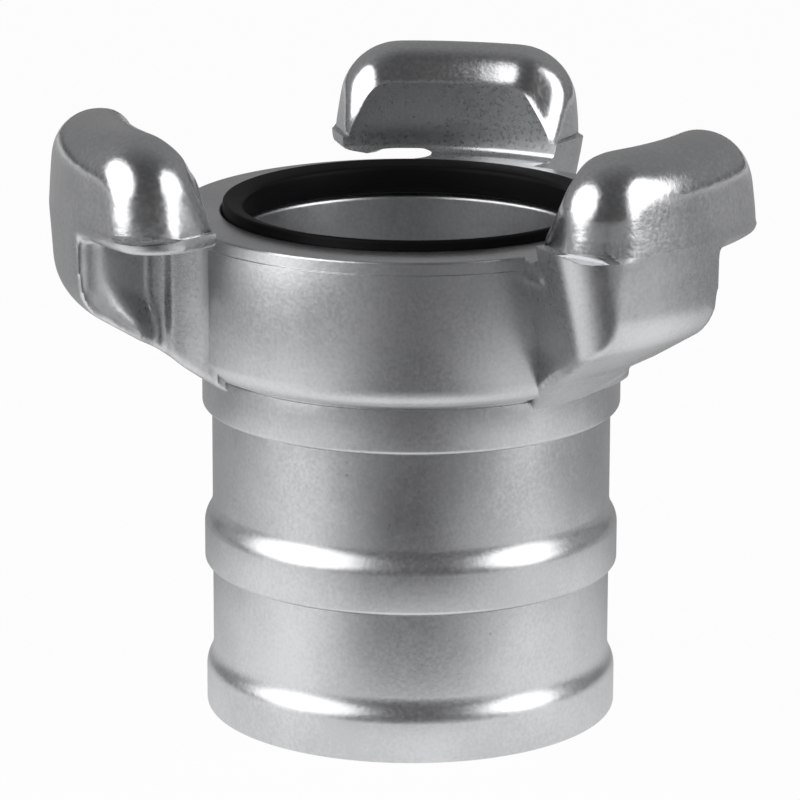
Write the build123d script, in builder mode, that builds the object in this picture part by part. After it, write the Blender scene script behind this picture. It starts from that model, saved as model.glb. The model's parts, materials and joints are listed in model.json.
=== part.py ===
from build123d import *
import os
from math import atan2, cos, degrees, radians, sin, tan

# Quarter turn fire hose coupling half for 70 mm hose, with three claws that hook under those of its mate.
# Millimetres. The waterway is the Z axis, z = 0 is the end of the hose tail, and the claws point up.
# A claw is laid out by its own angle: 0 is its clockwise end, seen from above, and it grows counter-clockwise.

# Hose tail
tail_radius = 35.0
bore_radius = 30.5
tail_edge = 0.8
bore_entry_chamfer = 1.5
end_rib_radius = 36.2
end_rib_height = 8.0
middle_rib_radius = 36.4
middle_rib_foot = 26.7
middle_rib_height = 7.8
rib_shoulder_height = 2.4
rib_corner = 0.8
collar_radius = 36.7
collar_foot = 55.1
collar_height = 8.1

# Head ring
ring_radius = 41.4
ring_height = 22.2
ring_taper_height = 4.3
ring_corner_radius = 3.0
rim_edge = 0.35
rim_band_height = 2.3
rim_band_inset = 0.2

# Seat of the seal in the head ring
seat_mouth_radius = 33.1
seat_depth = 4.0
undercut_radius = 35.3
undercut_height = 2.4
seat_edge_chamfer = 0.35
bore_mouth_chamfer = 0.9

# Seal: a rubber ring with a foot that snaps into the undercut and a lip that stands above the rim
seal_clearance = 0.15
seal_inner_radius = 29.4
seal_stand = 1.9
seal_slope = 1.0
seal_corner = 0.5

# Claws: heights are measured from the rim of the head ring
claw_count = 3
claw_azimuth = 56.0
claw_arc = 49.6
claw_outer_radius = 63.0
claw_inner_radius = 46.8
hook_clearance = 0.6
parting_height = 3.1
dome_height = 19.2
dome_setback = 0.15
dome_draft = 4.0
dome_end_radius = 11.0
dome_outer_rounding = 8.0
dome_crest_rounding = 5.0
root_end_draft = 3.0
hook_end_draft = 8.0
root_overhang = 1.1
hook_overhang = 0.7

# Bevel between the turned inner wall of a claw and its dome
bevel_height = 12.3
bevel_slope = 60.0
root_bevel_run = 6.0
hook_bevel_run = 5.0
bevel_foot_inset = 0.3
bevel_flank_rise = 2.0
bevel_flank_depth = 7.5

# Belt along the foot of each dome, and the low lip under the tip of the hook
belt_corner_radius = 8.5
belt_edge = 1.4
lip_arc = 4.8
lip_inset = 2.0
lip_drop = 0.7
lip_width = 6.0

# Root of each claw, with the scoop that lets the mate's hook in
root_arc = 29.5
root_corner = 1.0
root_wall_draft = 4.0
root_keel_height = 12.7
root_keel_rounding = 10.0
root_end_lean = 12.0
ledge_thickness = 4.0
ledge_chamfer = 1.5
scoop_angle = 26.3
scoop_radius = 15.0
scoop_floor = 2.8
scoop_chamfer = 2.4

# How far one form reaches into its neighbour, and what picks edges: a distance and a bend in degrees
overlap = 1.0
near = 0.01
corner_bend = 20.0
crest_bend = 8.0

# Heights and places that follow from the sizes above
taper_foot = collar_foot + collar_height
rim = taper_foot + ring_taper_height + ring_height
seat_floor = rim - seat_depth
undercut_top = seat_floor + undercut_height
underside = rim + hook_clearance
parting = rim + parting_height
dome_top = rim + dome_height
dome_rise = dome_top - parting
crease_height = rim + bevel_height
keel = rim - root_keel_height
wall_foot_radius = claw_outer_radius - (parting - keel) * tan(radians(root_wall_draft))
degree_length = radians(1) * claw_inner_radius
claw_wall = claw_outer_radius - claw_inner_radius


def turn(outline, corner_radii=0, start=0.0, arc=360.0, mode=Mode.ADD):
    """Turn a closed (radius, height) outline about the waterway, counter-clockwise from its start angle."""
    angle = radians(start)
    upright = Plane(origin=(0, 0, 0), x_dir=(cos(angle), sin(angle), 0), z_dir=(sin(angle), -cos(angle), 0))
    with BuildSketch(upright) as section:
        with BuildLine():
            FilletPolyline(*outline, radius=corner_radii, close=True)
        make_face()
    revolve(section.sketch, axis=Axis.Z, revolution_arc=arc, mode=mode)


def rib(foot, height, radius, foot_corner):
    """A raised rib with a rounded lower corner and a sloping shoulder on top."""
    core = tail_radius - overlap
    shoulder = foot + height + rib_shoulder_height
    turn(
        [(core, foot), (radius - foot_corner, foot), (radius, foot + foot_corner), (radius, foot + height),
         (tail_radius, shoulder), (core, shoulder)],
    )


def end_plane(azimuth, inward_sign):
    """Upright plane square to a claw's end: x runs from the end into the claw, y is up."""
    angle = radians(azimuth)
    outward = Vector(cos(angle), sin(angle), 0)
    inward = Vector(-sin(angle), cos(angle), 0) * inward_sign
    return Plane(origin=(0, 0, 0), x_dir=inward, z_dir=outward * inward_sign)


def bend(body, edge):
    """Angle by which the two faces at an edge turn, in degrees."""
    sides = [face for face in body.faces() if any(edge.is_same(border) for border in face.edges())]
    if len(sides) < 2:
        return 0.0
    middle = edge @ 0.5
    return sides[0].normal_at(middle).get_angle(sides[1].normal_at(middle))


def radius_of(point):
    return (point.X**2 + point.Y**2) ** 0.5


def azimuth_of(point):
    return degrees(atan2(point.Y, point.X))


def keel_at(radius):
    """Height of the root's sloping underside, which runs from the foot of the ring's taper to the outer wall."""
    slope = (keel - taper_foot) / (wall_foot_radius - collar_radius)
    return taper_foot + (radius - collar_radius) * slope


def off_inner_wall(edge):
    """True unless the edge lies on the turned inner wall of the claw."""
    return max(abs(radius_of(edge @ step) - claw_inner_radius) for step in (0.2, 0.8)) > near


def round_dome_end(plane, inward_sign, draft):
    """Trim one end of the dome to a leaning face with a large rounded top corner."""
    lean = dome_rise * tan(radians(draft))
    inside, beyond = claw_inner_radius, dome_top + claw_inner_radius
    with BuildSketch(plane) as waste:
        with BuildLine():
            FilletPolyline(
                (0, parting), (lean, dome_top), (inside, dome_top), (inside, beyond), (-inside, beyond),
                (-inside, parting), radius=[0, dome_end_radius, 0, 0, 0, 0], close=True,
            )
        make_face()
    extrude(waste.sketch, amount=2 * claw_outer_radius * inward_sign, mode=Mode.SUBTRACT)


def bevel_dome_end(plane, inward_sign, run):
    """Slice the inner corner of one end of the dome, from its foot up to the bevel along the top."""
    def at(radius, inset, height):
        return plane.z_dir * (radius * inward_sign) + plane.x_dir * inset + Vector(0, 0, height)

    foot = at(claw_inner_radius, bevel_foot_inset, parting)
    head = at(claw_inner_radius, run, crease_height)
    flank = at(claw_inner_radius + bevel_flank_depth, 0, crease_height + bevel_flank_rise)
    normal = (head - foot).cross(flank - foot).normalized()
    if normal.dot(at(claw_outer_radius, claw_inner_radius / 2, parting) - foot) > 0:
        normal = normal * -1
    split(bisect_by=Plane(origin=foot, z_dir=normal), keep=Keep.BOTTOM)


def round_end(azimuth, inward_sign, lean):
    """Trim the base at one end: a face that may lean, with a rounded corner to the outer wall."""
    side = end_plane(azimuth, inward_sign)
    level = Plane(origin=(0, 0, parting), x_dir=side.z_dir * inward_sign, z_dir=(0, 0, 1))
    with BuildSketch(level) as plan:
        Circle(claw_outer_radius)
        outside = Align.MAX if inward_sign > 0 else Align.MIN
        Rectangle(2 * claw_outer_radius, claw_outer_radius, align=(Align.CENTER, outside), mode=Mode.SUBTRACT)
        corner = plan.vertices().sort_by(Axis(level.origin, level.x_dir))[-1]
        fillet(corner, radius=min(belt_corner_radius, claw_wall * 2 / 3))
    drop = side.x_dir * tan(radians(lean)) + Vector(0, 0, -1)
    extrude(plan.sketch, amount=(parting - collar_foot) * drop.length, dir=drop, mode=Mode.INTERSECT)


# Hose tail with its ribs and collar, and the head ring with the seat of the seal
with BuildPart() as shank:
    tail_core = tail_radius - overlap
    turn(
        [(bore_radius, 0), (tail_core, 0), (tail_core, overlap), (tail_radius, overlap), (tail_radius, rim),
         (bore_radius, rim)],
    )
    rib(0, end_rib_height, end_rib_radius, tail_edge)
    rib(middle_rib_foot, middle_rib_height, middle_rib_radius, rib_corner)
    turn(
        [(bore_radius, collar_foot), (collar_radius - rib_corner, collar_foot),
         (collar_radius, collar_foot + rib_corner), (collar_radius, taper_foot + overlap),
         (bore_radius, taper_foot + overlap)],
    )
    band_radius = ring_radius - rim_band_inset
    band_foot = rim - rim_band_height
    turn(
        [(bore_radius, taper_foot), (collar_radius, taper_foot), (ring_radius, taper_foot + ring_taper_height),
         (ring_radius, band_foot), (band_radius, band_foot), (band_radius, rim - rim_edge),
         (band_radius - rim_edge, rim), (bore_radius, rim)],
    )
    waterway = bore_radius - overlap
    mouth_chamfer_radius = seat_mouth_radius + 2 * seat_edge_chamfer
    turn(
        [(waterway, seat_floor), (undercut_radius, seat_floor), (undercut_radius, undercut_top),
         (seat_mouth_radius, undercut_top), (seat_mouth_radius, rim - seat_edge_chamfer),
         (mouth_chamfer_radius, rim + seat_edge_chamfer), (waterway, rim + seat_edge_chamfer)],
        mode=Mode.SUBTRACT,
    )
    bore_mouth = shank.edges().filter_by(GeomType.CIRCLE).filter_by_position(Axis.Z, seat_floor, seat_floor)
    chamfer(bore_mouth.sort_by(SortBy.RADIUS)[0], length=bore_mouth_chamfer)
    bore_entry = shank.edges().filter_by(GeomType.CIRCLE).filter_by_position(Axis.Z, 0, 0)
    chamfer(bore_entry.sort_by(SortBy.RADIUS)[0], length=bore_entry_chamfer)

# Upper half of one claw: a bulbous dome with a bevelled inner side, cut by the turned inner wall
with BuildPart() as dome:
    dome_radius, dome_lean = claw_outer_radius - dome_setback, dome_rise * tan(radians(dome_draft))
    root_end, hook_end = root_overhang / degree_length, claw_arc - hook_overhang / degree_length
    turn(
        [(ring_radius, parting), (dome_radius, parting), (dome_radius - dome_lean, dome_top),
         (ring_radius, dome_top)],
        start=root_end, arc=hook_end - root_end,
    )
    root_plane, hook_plane = end_plane(root_end, 1), end_plane(hook_end, -1)
    round_dome_end(root_plane, 1, root_end_draft)
    round_dome_end(hook_plane, -1, hook_end_draft)
    outer_edges = [
        edge for edge in dome.edges()
        if (edge @ 0.5).Z > parting and radius_of(edge @ 0.5) > dome_radius - dome_lean - overlap
        and bend(dome.part, edge) > corner_bend
    ]
    fillet(outer_edges, radius=min(dome_outer_rounding, claw_wall / 2))
    turn(
        [(0, rim), (claw_inner_radius, rim), (claw_inner_radius, crease_height),
         (claw_inner_radius + dome_height / tan(radians(bevel_slope)), crease_height + dome_height),
         (0, crease_height + dome_height)],
        mode=Mode.SUBTRACT,
    )
    bevel_dome_end(root_plane, 1, root_bevel_run)
    bevel_dome_end(hook_plane, -1, hook_bevel_run)
    crest = [
        edge for edge in dome.edges()
        if (edge @ 0.5).Z > parting + near and off_inner_wall(edge) and bend(dome.part, edge) > crest_bend
    ]
    fillet(crest, radius=min(dome_crest_rounding, claw_wall / 3))

# Scoop in the root, open on the side that the hook points to and under the hook
with BuildPart() as scoop:
    centre_angle = radians(scoop_angle)
    with BuildSketch(Plane.XY.offset(taper_foot)):
        with Locations((claw_inner_radius * cos(centre_angle), claw_inner_radius * sin(centre_angle))):
            Circle(scoop_radius)
    extrude(amount=underside - taper_foot)
    scoop_inner, scoop_outer = ring_radius - overlap, claw_outer_radius + overlap
    ledge_foot = rim - ledge_thickness
    turn(
        [(scoop_inner, keel_at(scoop_inner) + scoop_floor), (scoop_outer, keel_at(scoop_outer) + scoop_floor),
         (scoop_outer, underside), (claw_inner_radius, underside), (claw_inner_radius, ledge_foot),
         (scoop_inner, ledge_foot)],
        mode=Mode.INTERSECT,
    )
    floor_edges = scoop.faces().filter_by(GeomType.CONE).sort_by(SortBy.AREA)[-1].edges()
    chamfer(floor_edges.filter_by(lambda edge: radius_of(edge @ 0.5) > ring_radius), length=scoop_chamfer)

# Lower half of one claw: the belt along its foot, the root that joins it to the ring, and the open hook
with BuildPart() as base:
    turn(
        [(collar_radius, parting), (claw_outer_radius, parting), (wall_foot_radius, keel),
         (collar_radius, taper_foot)],
        [0, 0, root_keel_rounding, 0],
        arc=2 * claw_arc,
    )
    round_end(0, 1, root_end_lean)
    round_end(claw_arc, -1, 0)
    turn([(0, rim), (claw_inner_radius, rim), (claw_inner_radius, dome_top), (0, dome_top)], mode=Mode.SUBTRACT)
    turn([(0, 0), (claw_inner_radius, 0), (claw_inner_radius, dome_top), (0, dome_top)],
         start=root_arc, arc=claw_arc, mode=Mode.SUBTRACT)
    beyond = 2 * claw_outer_radius
    edge_radius = claw_outer_radius - belt_edge
    turn([(0, 0), (beyond, 0), (beyond, underside + beyond - edge_radius), (edge_radius, underside), (0, underside)],
         start=root_arc, arc=claw_arc, mode=Mode.SUBTRACT)
    ledge_corner = base.edges().filter_by(
        lambda edge: abs((edge @ 0.5).Z - rim) < near and abs(radius_of(edge @ 0.5) - claw_inner_radius) < near
        and edge.length > belt_corner_radius
    )
    chamfer(ledge_corner, length=ledge_chamfer)
    hook_corner = base.edges().filter_by(
        lambda edge: abs((edge @ 0.5).Z - underside) < near and abs(azimuth_of(edge @ 0.5) - root_arc) < near
    )
    chamfer(hook_corner, length=root_corner)
    lip_end = claw_arc - lip_inset / degree_length
    lip_radius = claw_inner_radius + lip_width
    turn(
        [(claw_inner_radius, underside - lip_drop), (lip_radius, underside - lip_drop), (lip_radius, parting),
         (claw_inner_radius, parting)],
        start=lip_end - lip_arc, arc=lip_arc,
    )
    add(scoop.part, mode=Mode.SUBTRACT)

# The cast body in one piece
with BuildPart() as coupling_body:
    add(shank.part)
    with PolarLocations(0, claw_count, start_angle=claw_azimuth):
        add(dome.part)
        add(base.part)

# Rubber seal, which faces its mate's seal when the claws draw the two halves together
with BuildPart() as lip_seal:
    foot_radius = undercut_radius - seal_clearance
    neck_radius = seat_mouth_radius - seal_clearance
    foot_top = undercut_top - seal_clearance
    seal_top = rim + seal_stand
    turn(
        [(seal_inner_radius, seat_floor), (foot_radius, seat_floor), (foot_radius, foot_top),
         (neck_radius, foot_top), (neck_radius, seal_top - seal_corner), (neck_radius - seal_corner, seal_top),
         (seal_inner_radius, seal_top - seal_slope)],
    )

coupling_body.part.label = "coupling_body"
lip_seal.part.label = "lip_seal"

os.makedirs("parts", exist_ok=True)
export_step(coupling_body.part, "parts/coupling_body.step")
export_step(lip_seal.part, "parts/lip_seal.step")
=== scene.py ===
import json
from math import atan2, cos, hypot, pi, radians, sin

import bpy
from mathutils import Matrix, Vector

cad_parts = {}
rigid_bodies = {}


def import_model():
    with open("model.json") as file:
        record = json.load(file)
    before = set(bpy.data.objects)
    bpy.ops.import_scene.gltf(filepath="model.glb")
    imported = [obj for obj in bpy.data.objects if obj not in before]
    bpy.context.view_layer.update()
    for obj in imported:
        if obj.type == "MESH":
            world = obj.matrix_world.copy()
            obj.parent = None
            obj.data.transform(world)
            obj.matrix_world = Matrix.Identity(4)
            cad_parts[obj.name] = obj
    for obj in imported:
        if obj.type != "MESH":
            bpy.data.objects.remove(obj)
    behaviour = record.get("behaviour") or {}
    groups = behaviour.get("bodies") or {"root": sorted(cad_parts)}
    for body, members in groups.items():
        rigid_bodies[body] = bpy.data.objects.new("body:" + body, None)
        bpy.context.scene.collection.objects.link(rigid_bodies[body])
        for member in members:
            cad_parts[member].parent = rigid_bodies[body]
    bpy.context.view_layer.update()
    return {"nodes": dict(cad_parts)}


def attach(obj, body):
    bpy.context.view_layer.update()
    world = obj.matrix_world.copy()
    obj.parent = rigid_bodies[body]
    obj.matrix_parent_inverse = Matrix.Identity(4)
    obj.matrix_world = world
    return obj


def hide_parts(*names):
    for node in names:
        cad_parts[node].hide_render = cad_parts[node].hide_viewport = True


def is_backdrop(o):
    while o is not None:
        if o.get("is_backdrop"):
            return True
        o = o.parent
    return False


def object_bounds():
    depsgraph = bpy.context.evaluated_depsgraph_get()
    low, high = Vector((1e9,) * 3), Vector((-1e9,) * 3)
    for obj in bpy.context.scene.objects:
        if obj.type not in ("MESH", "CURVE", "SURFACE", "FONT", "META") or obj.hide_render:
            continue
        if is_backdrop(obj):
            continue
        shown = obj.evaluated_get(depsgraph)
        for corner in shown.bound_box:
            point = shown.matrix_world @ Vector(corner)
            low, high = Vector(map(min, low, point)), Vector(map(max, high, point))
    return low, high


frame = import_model()
bpy.ops.object.select_all(action='DESELECT')

# ---- Hose tail and head ring ----
# The lower part of the aluminium casting, turned all over in a lathe: a plain bore, a tail with two ribs and
# a collar for the hose, fine reliefs where the tool ran out at their feet, and the head ring with its
# undercut seat. Its section is drawn, its corners are rounded, and it is spun.
MM = 0.001
RIM = 89.7
RING_RADIUS = 41.4
SPIN_STEPS, SPIN_WELD = 192, 0.002

# radius, height, rounding
SHANK_SECTION = [
    (32.0, 0.0, 0.3), (36.2, 0.0, 0.9), (36.2, 8.0, 0.9), (35.0, 10.4, 1.2),
    (35.0, 26.3, 0.05), (34.75, 26.4, 0.05), (34.75, 26.7, 0.05), (36.4, 26.7, 0.7), (36.4, 34.5, 0.9),
    (35.0, 36.9, 1.2), (35.0, 54.7, 0.05), (34.75, 54.8, 0.05), (34.75, 55.1, 0.05), (36.7, 55.1, 0.8),
    (36.7, 62.9, 0.05), (36.4, 63.0, 0.05), (36.4, 63.4, 0.05), (36.8, 63.4, 0.1), (RING_RADIUS, 64.9, 2.8),
    (RING_RADIUS, 87.4, 0.1), (41.2, 87.4, 0.1), (41.2, RIM, 0.5), (33.5, RIM, 0.15),
    (33.1, 89.3, 0.15), (33.1, 88.1, 0.2), (35.3, 88.1, 0.2), (35.3, 85.7, 0.2),
    (31.4, 85.7, 0.2), (30.5, 84.8, 0.4), (30.5, 1.5, 0.4),
]


def spin_section(name, section):
    """Draw a closed section, round its corners and spin it about the waterway."""
    bpy.ops.mesh.primitive_circle_add(vertices=len(section), radius=MM, fill_type='NOTHING')
    piece = bpy.context.object
    piece.name = piece.data.name = name
    widest = max(corner[2] for corner in section)
    weights = piece.data.attributes.new("bevel_weight_vert", 'FLOAT', 'POINT')
    for vertex, (radius, height, rounding) in zip(piece.data.vertices, section):
        vertex.co = (radius * MM, 0, height * MM)
        weights.data[vertex.index].value = rounding / widest
    rounder = piece.modifiers.new("round corners", 'BEVEL')
    rounder.affect, rounder.limit_method, rounder.segments = 'VERTICES', 'WEIGHT', 4
    rounder.width = widest * MM
    bpy.ops.object.modifier_apply(modifier=rounder.name)
    bpy.ops.object.mode_set(mode='EDIT')
    bpy.ops.mesh.select_all(action='SELECT')
    bpy.ops.mesh.spin(steps=SPIN_STEPS, angle=2 * pi, center=(0, 0, 0), axis=(0, 0, 1))
    bpy.ops.mesh.select_all(action='SELECT')
    bpy.ops.mesh.remove_doubles(threshold=SPIN_WELD * MM)
    bpy.ops.mesh.normals_make_consistent(inside=False)
    bpy.ops.object.mode_set(mode='OBJECT')
    bpy.ops.object.select_all(action='DESELECT')
    return piece


body = spin_section("cast_body", SHANK_SECTION)

# ---- Claws ----
# The three hooked claws of the same casting, with its tumbled skin and soft edges, a turned inner wall, and a
# pocket in each root that takes the mate's hook. One claw of the solids is cut free and parted into dome and
# base; the two are remeshed, pressed into form, smoothed and joined, and the inner wall is turned again.
CLAW_COUNT = 3
CLAW_AZIMUTH = 56.0
CLAW_INNER_RADIUS = 46.8
PARTING = 92.8
VOXEL = 0.55
CUT_TOLERANCE = 1e-7
CLEAR_BELOW, CLEAR_ABOVE = -5, 120


def only(piece):
    """Make this the one selected object."""
    bpy.ops.object.select_all(action='DESELECT')
    piece.select_set(True)
    bpy.context.view_layer.objects.active = piece


def apply(piece, kind, **settings):
    """Add a modifier with these settings and apply it."""
    only(piece)
    modifier = piece.modifiers.new(kind, kind)
    for name, value in settings.items():
        setattr(modifier, name, value)
    bpy.ops.object.modifier_apply(modifier=modifier.name)


def boolean(piece, other, operation):
    """Join or cut a piece with another, which is used up."""
    apply(piece, 'BOOLEAN', operation=operation, object=other, solver='EXACT')
    bpy.data.objects.remove(other)


def cylinder(radius, low, high, nose=0.0):
    """A finely divided cutter about the waterway, its rims rounded like the nose of a turning tool."""
    bpy.ops.mesh.primitive_cylinder_add(vertices=2 * SPIN_STEPS, radius=radius * MM, depth=(high - low) * MM,
                                        location=(0, 0, (low + high) / 2 * MM))
    cutter = bpy.context.object
    if nose:
        apply(cutter, 'BEVEL', width=nose * MM, segments=5, limit_method='ANGLE')
    return cutter


def pick_faces(piece, wanted):
    """Select the faces that answer the test, and go on in edit mode."""
    only(piece)
    bpy.ops.object.mode_set(mode='EDIT')
    bpy.ops.mesh.select_mode(type='FACE')
    bpy.ops.mesh.select_all(action='DESELECT')
    bpy.ops.object.mode_set(mode='OBJECT')
    for face in piece.data.polygons:
        face.select = wanted(face)
    bpy.ops.object.mode_set(mode='EDIT')


def copy_of(piece, name):
    """A copy with its own mesh."""
    twin = piece.copy()
    twin.data = piece.data.copy()
    twin.name = twin.data.name = name
    bpy.context.collection.objects.link(twin)
    twin.parent = None
    twin.hide_render = twin.hide_viewport = False
    return twin


def keep_side(piece, height, above):
    """Part a piece at a height, keep one side and close it."""
    only(piece)
    bpy.ops.object.mode_set(mode='EDIT')
    bpy.ops.mesh.select_all(action='SELECT')
    bpy.ops.mesh.bisect(plane_co=(0, 0, height * MM), plane_no=(0, 0, 1), use_fill=True,
                        threshold=CUT_TOLERANCE, clear_inner=above, clear_outer=not above)
    bpy.ops.object.mode_set(mode='OBJECT')


# The claw is cut free just outside the ring, and its root is drawn inwards to sit well in the ring's wall
CUT_RADIUS, CUT_BAND = RING_RADIUS + 0.06, 0.02
COPY_WELD = 0.001
ROOT_INSET = 0.87
ROOT_SINK, ROOT_SINK_BELOW = 3.0, 70
claw = copy_of(frame["nodes"]["coupling_body"], "claw")
only(claw)
bpy.ops.object.mode_set(mode='EDIT')
bpy.ops.mesh.select_all(action='SELECT')
bpy.ops.mesh.remove_doubles(threshold=COPY_WELD * MM)
bpy.ops.object.mode_set(mode='OBJECT')
boolean(claw, cylinder(CUT_RADIUS, CLEAR_BELOW, CLEAR_ABOVE), 'DIFFERENCE')
for vertex in claw.data.vertices:
    vx, vy, vz = vertex.co
    if hypot(vx, vy) < (CUT_RADIUS + CUT_BAND) * MM:
        drop = ROOT_SINK * MM if vz < ROOT_SINK_BELOW * MM else 0
        vertex.co = (vx * ROOT_INSET, vy * ROOT_INSET, vz - drop)
pick_faces(claw, lambda face: face.center.y < 0)
bpy.ops.mesh.select_linked()
bpy.ops.mesh.delete(type='FACE')
bpy.ops.object.mode_set(mode='OBJECT')

# Stock on the inner wall, which the turning takes off again
TURNING_STOCK = 0.965
WALL_BAND, UPRIGHT = 0.05, 0.1


def on_inner_wall(face):
    """Whether a face belongs to the claw's upright inner wall."""
    return (abs(hypot(*face.center.xy) - CLAW_INNER_RADIUS * MM) < WALL_BAND * MM
            and abs(face.normal.z) < UPRIGHT and face.center.z > RIM * MM)


pick_faces(claw, on_inner_wall)
bpy.ops.mesh.extrude_region_move()
bpy.ops.transform.resize(value=(TURNING_STOCK, TURNING_STOCK, 1), center_override=(0, 0, 0))
bpy.ops.object.mode_set(mode='OBJECT')

# Each half goes on past the parting, so that the smoothing doesn't round its edge there
SAW, LEVEL = 0.02, 0.99
DOME_STUB, BASE_STUB = -4.0, 3.0
dome = copy_of(claw, "dome")
keep_side(dome, PARTING + SAW, above=True)
keep_side(claw, PARTING - SAW, above=False)
for half, shift in ((dome, DOME_STUB), (claw, BASE_STUB)):
    pick_faces(half, lambda face: (abs(face.center.z - PARTING * MM) < 1.5 * SAW * MM
                                   and abs(face.normal.z) > LEVEL))
    bpy.ops.mesh.extrude_region_move()
    bpy.ops.transform.translate(value=(0, 0, shift * MM))
    bpy.ops.object.mode_set(mode='OBJECT')

# The source's rounded scoop is filled up to a flat end of the root, and the shelf at the ring's rim with it
ROOT_ARC = 29.5
# radius, height
ROOT_FILL = [(38, 65.2), (52, 72.8), (57, 76.8), (60.3, 81), (60.45, 91.5), (47.4, 91.5), (47.4, 89.6),
             (38, 89.6)]
SHELF_FILL = [(38, 86.0), (47.4, 86.0), (47.4, 89.68), (38, 89.68)]


def sector(outline, start, arc):
    """A solid with this section, turned about the waterway from one angle of the claw to another."""
    bpy.ops.mesh.primitive_circle_add(vertices=len(outline), radius=MM, fill_type='NGON')
    block = bpy.context.object
    for vertex, (radius, height) in zip(block.data.vertices, outline):
        vertex.co = (radius * MM, 0, height * MM)
    block.data.transform(Matrix.Rotation(radians(CLAW_AZIMUTH + start), 4, 'Z'))
    bpy.ops.object.mode_set(mode='EDIT')
    bpy.ops.mesh.select_all(action='SELECT')
    bpy.ops.mesh.spin(steps=16, angle=-radians(arc), center=(0, 0, 0), axis=(0, 0, 1))
    bpy.ops.mesh.select_all(action='SELECT')
    bpy.ops.mesh.normals_make_consistent(inside=False)
    bpy.ops.object.mode_set(mode='OBJECT')
    return block


boolean(claw, sector(ROOT_FILL, start=5.0, arc=ROOT_ARC - 5.05), 'UNION')
boolean(claw, sector(SHELF_FILL, start=1.0, arc=ROOT_ARC - 1.1), 'UNION')

# A hollow fillet leads from the ring's wall out to the pocket's ridge; its foot is cut to the root's slope
RIDGE_RADIUS = 45.3
WEB_RADIUS, WEB_TUCK, WEB_STEPS = 12.0, 0.3, 9
WEB_INSIDE, WEB_BEHIND = 38, -0.5
WEB_LOW, WEB_TALL = 60, 29.6
WEB_FOOT, WEB_FOOT_NORMAL = 65.4, (-0.48, 0, 0.88)
reach = RING_RADIUS - WEB_TUCK + WEB_RADIUS
centre_out = (reach ** 2 - WEB_RADIUS ** 2 + RIDGE_RADIUS ** 2) / (2 * RIDGE_RADIUS)
centre_along = (reach ** 2 - centre_out ** 2) ** 0.5
first = atan2(centre_along, centre_out - RIDGE_RADIUS)
last = atan2(centre_along, centre_out)
plan = [(WEB_INSIDE, centre_along * (RING_RADIUS - WEB_TUCK) / reach), (WEB_INSIDE, WEB_BEHIND),
        (RIDGE_RADIUS, WEB_BEHIND)]
for step in range(WEB_STEPS + 1):
    turn = first + (last - first) * step / WEB_STEPS
    plan.append((centre_out - WEB_RADIUS * cos(turn), centre_along - WEB_RADIUS * sin(turn)))
bpy.ops.mesh.primitive_circle_add(vertices=len(plan), radius=MM, fill_type='NGON')
web = bpy.context.object
for vertex, (out, along) in zip(web.data.vertices, plan):
    vertex.co = (out * MM, along * MM, WEB_LOW * MM)
bpy.ops.object.mode_set(mode='EDIT')
bpy.ops.mesh.select_all(action='SELECT')
bpy.ops.mesh.extrude_region_move()
bpy.ops.transform.translate(value=(0, 0, WEB_TALL * MM))
bpy.ops.mesh.select_all(action='SELECT')
bpy.ops.mesh.normals_make_consistent(inside=False)
bpy.ops.mesh.bisect(plane_co=(RING_RADIUS * MM, 0, WEB_FOOT * MM), plane_no=WEB_FOOT_NORMAL, use_fill=True,
                    threshold=CUT_TOLERANCE, clear_inner=True)
bpy.ops.object.mode_set(mode='OBJECT')
pocket_angle = radians(CLAW_AZIMUTH + ROOT_ARC)
web.data.transform(Matrix.Rotation(pocket_angle, 4, 'Z'))
boolean(claw, web, 'UNION')

# The smoothing takes a little off all round and the swell gives it back; the dome's top is then let down
DOME_SWELL, BASE_SWELL = 0.16, 0.08
TOP_SINK = 0.0105
apply(dome, 'REMESH', mode='VOXEL', voxel_size=VOXEL * MM)
apply(dome, 'SMOOTH', factor=0.5, iterations=16)
apply(dome, 'DISPLACE', strength=DOME_SWELL * MM, mid_level=0)
for vertex in dome.data.vertices:
    vertex.co.z -= TOP_SINK * (vertex.co.z - PARTING * MM)
apply(claw, 'REMESH', mode='VOXEL', voxel_size=VOXEL * MM)


def rise(value):
    """A soft rise from 0 to 1."""
    value = min(max(value, 0), 1)
    return value * value * (3 - 2 * value)


# The pocket that takes the mate's hook is pressed into the root's end: deepest beside a thin ridge near the
# ring, under the belt, and fading out towards the outer wall and the foot
POCKET_DEPTH, POCKET_REACH = 3.2, 14.0
UNDERSIDE, BELT_RUN = 90.25, 0.6
KEEL_HEIGHT, KEEL_SLOPES = 65.2, [(38, 0.543), (52, 0.26), (57, 0.4)]
FOOT_RADIUS, FOOT_RUN, FOOT_GAP, FOOT_RISE = 46, 6, 0.6, 7
RIDGE_WIDTH, FLANK_RUN, FLANK_SHARE = 0.7, 3, 0.6
POCKET_OUTER, OUTER_RUN = 59.8, 12
for vertex in claw.data.vertices:
    out, up = hypot(*vertex.co.xy) / MM, vertex.co.z / MM
    angle = atan2(vertex.co.y, vertex.co.x)
    behind = (pocket_angle - angle) * out
    if behind < POCKET_REACH and out > RIDGE_RADIUS and up < UNDERSIDE + 1:
        foot = KEEL_HEIGHT
        for start, slope in KEEL_SLOPES:
            foot += max(0, out - start) * slope
        fade = 1 - rise((out - FOOT_RADIUS) / FOOT_RUN) * (1 - rise((up - foot - FOOT_GAP) / FOOT_RISE))
        flank = FLANK_SHARE + (1 - FLANK_SHARE) * rise((out - RIDGE_RADIUS - RIDGE_WIDTH) / FLANK_RUN)
        bowl = flank * rise((POCKET_OUTER - out) / OUTER_RUN)
        ridge = rise((out - RIDGE_RADIUS) / RIDGE_WIDTH)
        depth = POCKET_DEPTH * fade * bowl * ridge * rise((UNDERSIDE - up) / BELT_RUN)
        angle -= depth * (1 - max(behind, 0) / POCKET_REACH) / out
        vertex.co.xy = (out * cos(angle) * MM, out * sin(angle) * MM)
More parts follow.
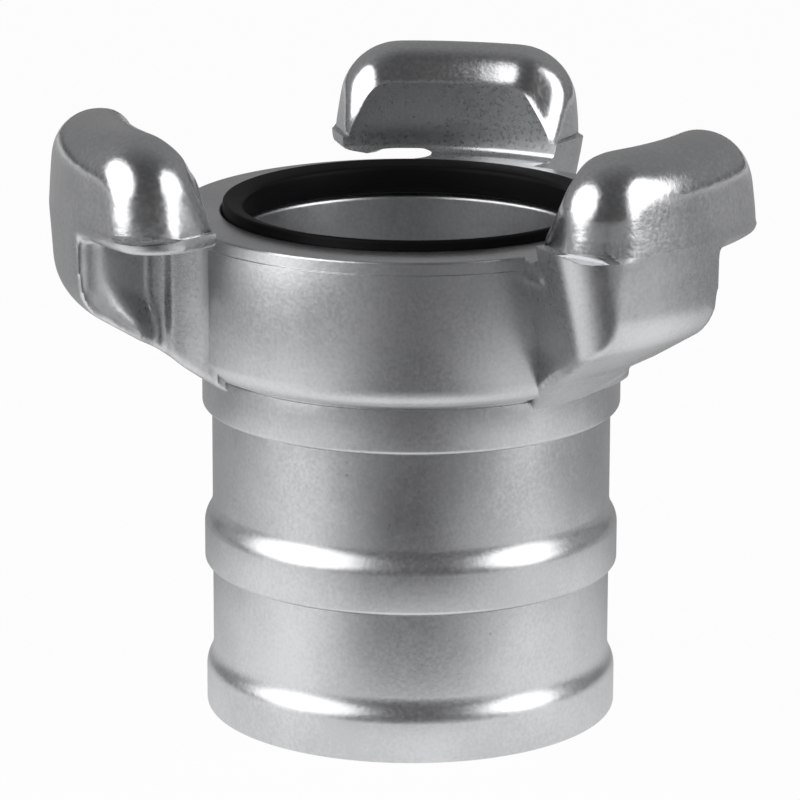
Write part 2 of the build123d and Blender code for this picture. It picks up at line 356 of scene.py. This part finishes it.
apply(claw, 'REMESH', mode='VOXEL', voxel_size=VOXEL * MM)

# The root's foot hangs lower near the ring, and a little higher towards the outer wall
ROOT_TOP, ROOT_RUN = 82, 8
DROOP_RADIUS, DROOP_SLOPE = 47, 0.16
LIFT, LIFT_RADIUS, LIFT_RUN = 0.6, 58, 8
DOME_OVERLAP = 0.4
for vertex in claw.data.vertices:
    out, low = hypot(*vertex.co.xy) / MM, min(max((ROOT_TOP - vertex.co.z / MM) / ROOT_RUN, 0), 1)
    sink = max(0, DROOP_RADIUS - out) * DROOP_SLOPE - LIFT * max(0, 1 - abs(out - LIFT_RADIUS) / LIFT_RUN)
    vertex.co.z -= low * sink * MM
apply(claw, 'SMOOTH', factor=0.5, iterations=9)
apply(claw, 'DISPLACE', strength=BASE_SWELL * MM, mid_level=0)
keep_side(claw, PARTING, above=False)
keep_side(dome, PARTING - DOME_OVERLAP, above=True)
boolean(claw, dome, 'UNION')

# The mould's line shows at the two ends; along the outer wall it is dressed smooth
WALL_RADIUS, LINE_BAND, LINE_WELD = 58, 1.5, 0.12
DRESS_RADIUS, DRESS_RUN = 54.0, 6.0
DRESS_FULL, DRESS_HEIGHT = 1.3, 2.4
RIM_OVERCUT, TOOL_NOSE = 0.02, 1.4
pick_faces(claw, lambda face: (hypot(*face.center.xy) > WALL_RADIUS * MM
                               and abs(face.center.z - PARTING * MM) < LINE_BAND * MM))
bpy.ops.mesh.remove_doubles(threshold=LINE_WELD * MM)
bpy.ops.object.mode_set(mode='OBJECT')
dressed = claw.vertex_groups.new(name="dressed")
for vertex in claw.data.vertices:
    across = (hypot(*vertex.co.xy) / MM - DRESS_RADIUS) / DRESS_RUN
    along = DRESS_FULL - abs(vertex.co.z / MM - PARTING) / DRESS_HEIGHT
    weight = min(max(across, 0), 1) * min(max(along, 0), 1)
    if weight:
        dressed.add([vertex.index], weight, 'REPLACE')
apply(claw, 'SMOOTH', factor=0.6, iterations=40, vertex_group="dressed")
boolean(claw, cylinder(CLAW_INNER_RADIUS, RIM - RIM_OVERCUT, CLEAR_ABOVE, nose=TOOL_NOSE), 'DIFFERENCE')

# ---- The casting in one piece ----
# Tail, ring and claws are one casting, so they are joined into one closed mesh. Its metal is cast aluminium:
# a satin, tumbled skin with fine grain on the claws, and turned faces with a few pits on tail and ring.
BODY_WELD = 0.01
for turn in range(CLAW_COUNT):
    arm = copy_of(claw, "arm")
    arm.data.transform(Matrix.Rotation(2 * pi * turn / CLAW_COUNT, 4, 'Z'))
    boolean(body, arm, 'UNION')
bpy.data.objects.remove(claw)
only(body)
bpy.ops.object.mode_set(mode='EDIT')
bpy.ops.mesh.select_all(action='SELECT')
bpy.ops.mesh.remove_doubles(threshold=BODY_WELD * MM)
bpy.ops.object.mode_set(mode='OBJECT')
bpy.ops.object.shade_smooth_by_angle(angle=radians(28))


class Flow:
    """A value that runs through a material's nodes, so that sums of values read as plain Python."""

    def __init__(self, tree, socket=None):
        self.tree, self.socket = tree, socket

    def add(self, kind, inputs=(), output=0, **settings):
        """Add a node: its settings first, then what goes into its sockets."""
        node = self.tree.nodes.new(kind)
        for name, value in settings.items():
            setattr(node, name, value)
        for name, value in dict(inputs).items():
            if isinstance(value, Flow):
                self.tree.links.new(value.socket, node.inputs[name])
            else:
                node.inputs[name].default_value = value
        return Flow(self.tree, node.outputs[output] if node.outputs else None)

    def math(self, operation, *values):
        """One sum of the values given."""
        return self.add('ShaderNodeMath', enumerate(values), operation=operation)

    def __add__(self, other):
        return self.math('ADD', self, other)

    __radd__ = __add__

    def __sub__(self, other):
        return self.math('SUBTRACT', self, other)

    def __rsub__(self, other):
        return self.math('SUBTRACT', other, self)

    def __mul__(self, other):
        return self.math('MULTIPLY', self, other)

    def step(self, low, high):
        """0 below low, 1 above high, and a soft rise between."""
        return self.add('ShaderNodeMapRange', {0: self, 1: low, 2: high}, interpolation_type='SMOOTHSTEP')

    def blend(self, share, plain, other):
        """One colour where the share is 0, another where it is 1."""
        return self.add('ShaderNodeMix', {0: share, 6: plain, 7: other}, output=2, data_type='RGBA')


def new_material(name):
    """A material with its default shader and output, and a Flow to build on."""
    material = bpy.data.materials.new(name)
    material.use_nodes = True
    tree = material.node_tree
    return material, tree.nodes["Principled BSDF"], Flow(tree)


aluminium, shader, flow = new_material("cast_aluminium")
shader.inputs["Metallic"].default_value = 1.0
place = flow.add('ShaderNodeTexCoord', output="Object")
x = flow.add('ShaderNodeSeparateXYZ', {0: place}, output="X")
y = flow.add('ShaderNodeSeparateXYZ', {0: place}, output="Y")
height = flow.add('ShaderNodeSeparateXYZ', {0: place}, output="Z")
radius = flow.math('SQRT', x * x + y * y)
clouds = flow.add('ShaderNodeTexNoise', {"Vector": place, "Scale": 55.0, "Detail": 4.0}, output="Fac")
grain = flow.add('ShaderNodeTexNoise', {"Vector": place, "Scale": 1500.0, "Detail": 3.0}, output="Fac")
on_claw = radius.step(0.0419, 0.0425)
on_dome = height.step(0.0925, 0.0932) * radius.step(0.0470, 0.0474)
rough = 0.33 + (clouds - 0.5) * 0.14 + (grain - 0.5) * 0.14 - on_claw * 0.03 - on_dome * 0.08
pits = flow.add('ShaderNodeTexVoronoi', {"Vector": place, "Scale": 210.0}, output="Distance")
patch = flow.add('ShaderNodeTexNoise', {"Vector": place, "Scale": 38.0, "Detail": 2.0}, output="Fac")
pitted = (1.0 - pits.step(0.05, 0.11)) * patch.step(0.62, 0.70) * (1.0 - on_claw)
DULL, BRIGHT, PIT = (0.60, 0.61, 0.62, 1), (0.73, 0.74, 0.75, 1), (0.10, 0.10, 0.10, 1)
tint = flow.blend((clouds * 0.6 + grain * 0.4).step(0.36, 0.66), DULL, BRIGHT)
tint = flow.blend(pitted * 0.35, tint, PIT)
flow.tree.links.new(tint.socket, shader.inputs["Base Color"])
flow.tree.links.new(rough.socket, shader.inputs["Roughness"])
bump = flow.add('ShaderNodeBump', {"Height": grain - pitted * 0.8, "Strength": 0.25, "Distance": 0.00008})
flow.tree.links.new(bump.socket, shader.inputs["Normal"])

body.data.materials.clear()
body.data.materials.append(aluminium)
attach(body, "root")
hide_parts("coupling_body")

# ---- Lip seal ----
# A moulded ring of black rubber. Its foot is snapped into the undercut of the head ring, and its lip stands
# above the rim, where it meets the lip of the mating half.
SEAL_SECTION = [
    (29.4, 85.7, 0.4), (35.15, 85.7, 0.4), (35.15, 87.95, 0.4), (32.95, 87.95, 0.1),
    (32.95, 91.6, 0.7), (29.4, 90.6, 0.7),
]
seal = spin_section("seal_ring", SEAL_SECTION)
only(seal)
bpy.ops.object.shade_smooth_by_angle(angle=radians(40))
rubber, shader, flow = new_material("black_rubber")
shader.inputs["Specular IOR Level"].default_value = 0.12
place = flow.add('ShaderNodeTexCoord', output="Object")
speckle = flow.add('ShaderNodeTexNoise', {"Vector": place, "Scale": 900.0, "Detail": 3.0}, output="Fac")
film = flow.add('ShaderNodeTexNoise', {"Vector": place, "Scale": 70.0, "Detail": 3.0}, output="Fac")
tint = flow.blend(film, (0.003, 0.003, 0.0035, 1), (0.007, 0.007, 0.0075, 1))
flow.tree.links.new(tint.socket, shader.inputs["Base Color"])
flow.tree.links.new((0.38 + film * 0.12 + speckle * 0.08).socket, shader.inputs["Roughness"])
bump = flow.add('ShaderNodeBump', {"Height": speckle, "Strength": 0.2, "Distance": 0.00005})
flow.tree.links.new(bump.socket, shader.inputs["Normal"])
seal.data.materials.append(rubber)
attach(seal, "root")
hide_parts("lip_seal")

# ---- Camera ----
# A long lens, as far off and as high as in the photograph. It looks down on the coupling, with a trace of pan
# and roll, as it came out when a pinhole camera was fitted to the photograph's outlines.
BACK, UP = 0.827643, 0.276425
PAN, PITCH, ROLL = -0.0023987, 0.26132153, 0.00271065
LENS, SENSOR = 219.29, 36
bpy.ops.object.camera_add(location=(0, -BACK, UP))
camera = bpy.context.object
turned = (Matrix.Rotation(-PAN, 4, 'Z') @ Matrix.Rotation(pi / 2 - PITCH, 4, 'X')
          @ Matrix.Rotation(ROLL, 4, 'Z'))
camera.matrix_world = Matrix.Translation(camera.location) @ turned
camera.data.lens, camera.data.sensor_width = LENS, SENSOR
bpy.context.scene.camera = camera

# ---- Floor, backdrop and lamps ----
# A white floor and backdrop, an oval soft lamp on each side of the camera, and grey boards with pale patches
# that only the metal's reflections see. None of it is a piece of the coupling.
FLOOR_WHITE, FLOOR_GLOW, SKY_LIGHT = 0.85, 0.97, 0.5
bpy.ops.mesh.primitive_circle_add(vertices=96, radius=4, fill_type='NGON', location=(0, 0, 0))
floor = bpy.context.object
floor.name = "floor"
white = bpy.data.materials.new("white_floor")
white.use_nodes = True
nodes, links = white.node_tree.nodes, white.node_tree.links
nodes.clear()
out = nodes.new('ShaderNodeOutputMaterial')
mix = nodes.new('ShaderNodeMixShader')
diffuse = nodes.new('ShaderNodeBsdfDiffuse')
diffuse.inputs["Color"].default_value = (FLOOR_WHITE, FLOOR_WHITE, FLOOR_WHITE, 1)
glow = nodes.new('ShaderNodeEmission')
flow = Flow(white.node_tree)
path = flow.tree.nodes.new('ShaderNodeLightPath')
seen, mirrored, through = (Flow(flow.tree, path.outputs["Is %s Ray" % kind])
                           for kind in ("Camera", "Glossy", "Transmission"))
share = flow.math('MAXIMUM', seen, flow.math('MAXIMUM', mirrored, through)) * FLOOR_GLOW
links.new(share.socket, mix.inputs[0])
links.new(diffuse.outputs[0], mix.inputs[1])
links.new(glow.outputs[0], mix.inputs[2])
links.new(mix.outputs[0], out.inputs[0])
floor.data.materials.append(white)
floor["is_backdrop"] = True

world = bpy.data.worlds.new("studio")
bpy.context.scene.world = world
world.use_nodes = True
flow = Flow(world.node_tree)
path = flow.tree.nodes.new('ShaderNodeLightPath')
seen, mirrored, through = (Flow(flow.tree, path.outputs["Is %s Ray" % kind])
                           for kind in ("Camera", "Glossy", "Transmission"))
backdrop = flow.math('MINIMUM', seen + mirrored + through, 1.0)
flow.tree.links.new((SKY_LIGHT + backdrop * (1 - SKY_LIGHT)).socket,
                    flow.tree.nodes["Background"].inputs["Strength"])


def soft_lamp(name, azimuth, distance, middle, width, tall, radiance):
    """A soft box that faces the object; azimuth is from the camera's side, counter-clockwise."""
    angle = radians(azimuth)
    spot = (distance * sin(angle), -distance * cos(angle), middle)
    bpy.ops.object.light_add(type='AREA', location=spot)
    lamp = bpy.context.object
    lamp.name = name
    lamp.data.shape, lamp.data.size, lamp.data.size_y = 'ELLIPSE', width, tall
    lamp.data.energy = radiance * pi * (pi / 4 * width * tall)
    lamp.rotation_euler = (pi / 2, 0, angle)
    lamp.visible_camera = False
    return lamp


soft_lamp("left_box", azimuth=-66, distance=0.9, middle=0.66, width=1.34, tall=1.28, radiance=2.1)
soft_lamp("right_box", azimuth=67, distance=0.9, middle=0.58, width=0.78, tall=1.10, radiance=2.4)

BOARD_REACH = 1.2
CARD_EDGE = (0.05, 0.20)
AISLE_SIDE, AISLE_END = (0.03, 0.13), (-0.13, -0.04)


def grey_board(panel, name, near, far, cards=(), aisle=0.0):
    """Finish a board that only the metal's reflections see, from one grey in front to another behind.

    Pale cards lie on it, and a dark aisle leads to the camera, each with soft edges.
    """
    panel.name = name
    coat = bpy.data.materials.new(name)
    coat.use_nodes = True
    flow = Flow(coat.node_tree)
    flow.tree.nodes.clear()
    place = flow.add('ShaderNodeTexCoord', output="Object")
    depth = flow.add('ShaderNodeSeparateXYZ', {0: place}, output="Y")
    grey = near + depth.step(-BOARD_REACH, BOARD_REACH) * (far - near)
    across = flow.add('ShaderNodeSeparateXYZ', {0: place}, output="X")
    for card_x, card_y, brightness in cards:
        off_x, off_y = across - card_x, depth - card_y
        gap = flow.math('SQRT', off_x * off_x + off_y * off_y)
        grey = grey + (1.0 - gap.step(*CARD_EDGE)) * brightness
    if aisle:
        beside = flow.math('ABSOLUTE', across)
        inside = (1.0 - beside.step(*AISLE_SIDE)) * (1.0 - depth.step(*AISLE_END))
        grey = grey * (1.0 - inside * aisle)
    glow = flow.add('ShaderNodeEmission', {"Strength": grey})
    flow.add('ShaderNodeOutputMaterial', {"Surface": glow})
    panel.data.materials.append(coat)
    panel.visible_camera = panel.visible_diffuse = panel.visible_shadow = False
    panel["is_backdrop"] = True


# Grey tent with a gap along its foot, where the white backdrop is seen
bpy.ops.mesh.primitive_cylinder_add(vertices=64, radius=2.0, depth=1.8, end_fill_type='NOTHING',
                                    location=(0, 0, 1.1))
tent = bpy.context.object
bpy.ops.object.mode_set(mode='EDIT')
bpy.ops.mesh.select_mode(type='EDGE')
bpy.ops.mesh.select_all(action='DESELECT')
bpy.ops.object.mode_set(mode='OBJECT')
for edge in tent.data.edges:
    edge.select = all(tent.data.vertices[end].co.z > 0 for end in edge.vertices)
bpy.ops.object.mode_set(mode='EDIT')
bpy.ops.mesh.edge_face_add()
bpy.ops.object.mode_set(mode='OBJECT')
bpy.ops.object.transform_apply(location=True, rotation=True, scale=True)
grey_board(tent, "grey_tent", near=0.09, far=0.26)

# Mat on the floor: place and brightness of a pale patch at each side of the coupling
CARDS = ((-0.12, -0.08, 0.66), (0.12, -0.08, 0.62))
bpy.ops.mesh.primitive_circle_add(vertices=64, radius=1.6, fill_type='NGON', location=(0, 0, 0.0002))
grey_board(bpy.context.object, "pale_mat", near=0.14, far=0.44, cards=CARDS, aisle=0.72)

bpy.context.scene.view_settings.view_transform = 'Standard'

low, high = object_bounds()
